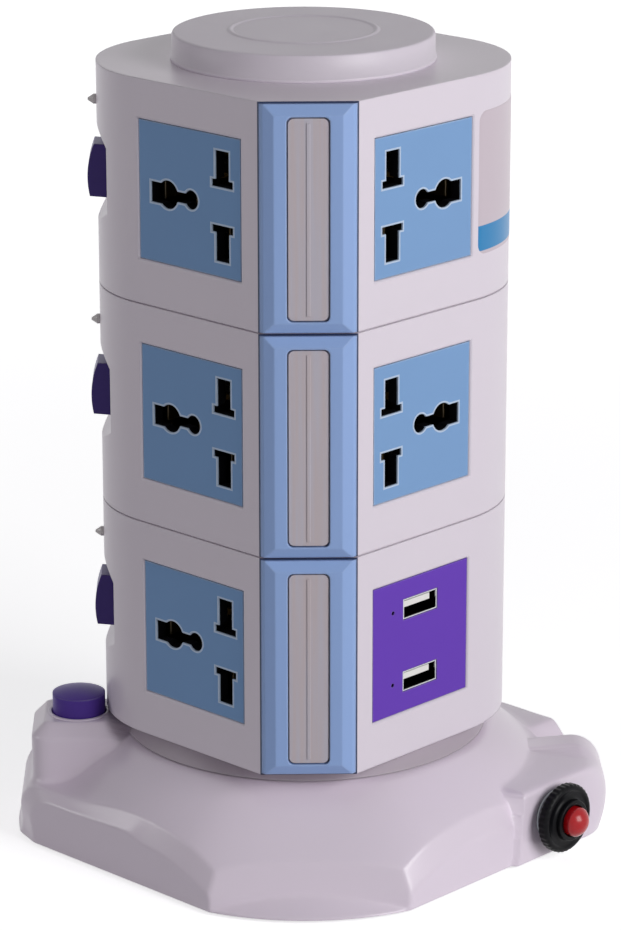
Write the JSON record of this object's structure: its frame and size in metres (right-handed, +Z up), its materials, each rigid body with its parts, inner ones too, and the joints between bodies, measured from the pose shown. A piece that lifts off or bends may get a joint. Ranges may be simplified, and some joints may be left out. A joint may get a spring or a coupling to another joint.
{
  "type": "tower power strip",
  "caption": "Three-layer tower power strip: sockets and charging ports on its faces, side rockers, and a low base with a cord reel, rewind button and resettable breaker.",
  "frame": {"origin": "on the ground plane, under the tower's axis and in the middle of the centre foot", "axes": "+Z up along the tower's axis; -Y out of the front socket face and +X out of the right face, so the blue front corner points along +X and -Y"},
  "size_m": [0.1567, 0.1465, 0.236],
  "materials": {
    "white_shell": "gloss",
    "blue_plate": "satin",
    "blue_frame": "gloss",
    "pale_insert": "satin",
    "purple": "gloss",
    "black_plastic": "satin",
    "lens": "gloss",
    "red": "gloss",
    "white_plastic": "satin",
    "board": "satin",
    "steel": "satin",
    "brass": "satin",
    "carbon": "matte",
    "drum_plastic": "satin",
    "rubber": "matte"
  },
  "bodies": {
    "case": {"base_shell": "white_shell", "base_floor": "white_shell", "tower_collar": "white_shell", "tower_floor": "white_shell", "top_cap": "white_shell", "layer_casing_1": "white_shell", "layer_casing_2": "white_shell", "layer_casing_3": "white_shell", "socket_front_1": "blue_plate", "socket_front_2": "blue_plate", "socket_front_3": "blue_plate", "socket_right_2": "blue_plate", "socket_right_3": "blue_plate", "socket_back_1": "blue_plate", "socket_back_2": "blue_plate", "socket_back_3": "blue_plate", "socket_left_1": "blue_plate", "socket_left_2": "blue_plate", "socket_left_3": "blue_plate", "corner_frames_1": "blue_frame", "corner_frames_2": "blue_frame", "corner_frames_3": "blue_frame", "corner_inserts_1": "pale_insert", "corner_inserts_2": "pale_insert", "corner_inserts_3": "pale_insert", "usb_plate": "purple", "rocker_housing_1": "black_plastic", "rocker_housing_2": "black_plastic", "rocker_housing_3": "black_plastic", "breaker_body": "black_plastic", "breaker_ring": "black_plastic", "cord_bush": "black_plastic", "indicator_lenses": "lens", "usb_tongues": "white_plastic", "brush_holder": "white_plastic", "contact_carriers": "white_plastic", "usb_board": "board", "base_screws": "steel", "brake_pin": "steel", "reel_spindle": "steel", "power_spring": "steel", "rewind_spring": "steel", "breaker_neck": "steel", "usb_shells": "steel", "tie_rods": "steel", "tie_nuts": "steel", "live_busbars": "brass", "neutral_busbars": "brass", "earth_busbars": "brass", "carbon_brushes": "carbon", "rubber_feet": "rubber"},
    "rewind_button_body": {"rewind_button": "purple"},
    "brake_lever_body": {"brake_lever": "drum_plastic"},
    "reel": {"reel_drum": "drum_plastic", "slip_rings": "brass"},
    "reset_button_body": {"reset_button": "red"},
    "rocker_1": {"rocker_switch_1": "purple"},
    "rocker_2": {"rocker_switch_2": "purple"},
    "rocker_3": {"rocker_switch_3": "purple"}
  },
  "joints": [
    {"name": "rocker_1_tilt", "type": "hinge", "parent": "case", "child": "rocker_1", "pos_m": [-0.03621, -0.03621, 0.0691], "axis": [0.7071, -0.7071, 0], "range_deg": [0, 10]},
    {"name": "rocker_2_tilt", "type": "hinge", "parent": "case", "child": "rocker_2", "pos_m": [-0.03621, -0.03621, 0.1327], "axis": [0.7071, -0.7071, 0], "range_deg": [0, 10]},
    {"name": "rocker_3_tilt", "type": "hinge", "parent": "case", "child": "rocker_3", "pos_m": [-0.03621, -0.03621, 0.1963], "axis": [0.7071, -0.7071, 0], "range_deg": [0, 10]},
    {"name": "rewind_button_press", "type": "slide", "parent": "case", "child": "rewind_button_body", "axis": [0, 0, -1], "range_m": [0, 0.0045], "stiffness_N_per_m": 400, "springref_m": -0.003, "deforming": ["rewind_spring"]},
    {"name": "brake_lever_swing", "type": "hinge", "parent": "case", "child": "brake_lever_body", "pos_m": [-0.04221, -0.02686, 0.0075], "axis": [0, 0, 1], "range_deg": [0, 6.11]},
    {"name": "reel_spin", "type": "hinge", "parent": "case", "child": "reel", "pos_m": [0, 0, 0.0126], "axis": [0, 0, 1], "range_deg": [0, 3060]},
    {"name": "reset_press", "type": "slide", "parent": "case", "child": "reset_button_body", "axis": [-1, 0, 0], "range_m": [0, 0.0025], "stiffness_N_per_m": 600, "springref_m": -0.002}
  ],
  "couplings": [
    {"joint": "brake_lever_swing", "follows": "rewind_button_press", "rad_per_m": 23.31}
  ]
}
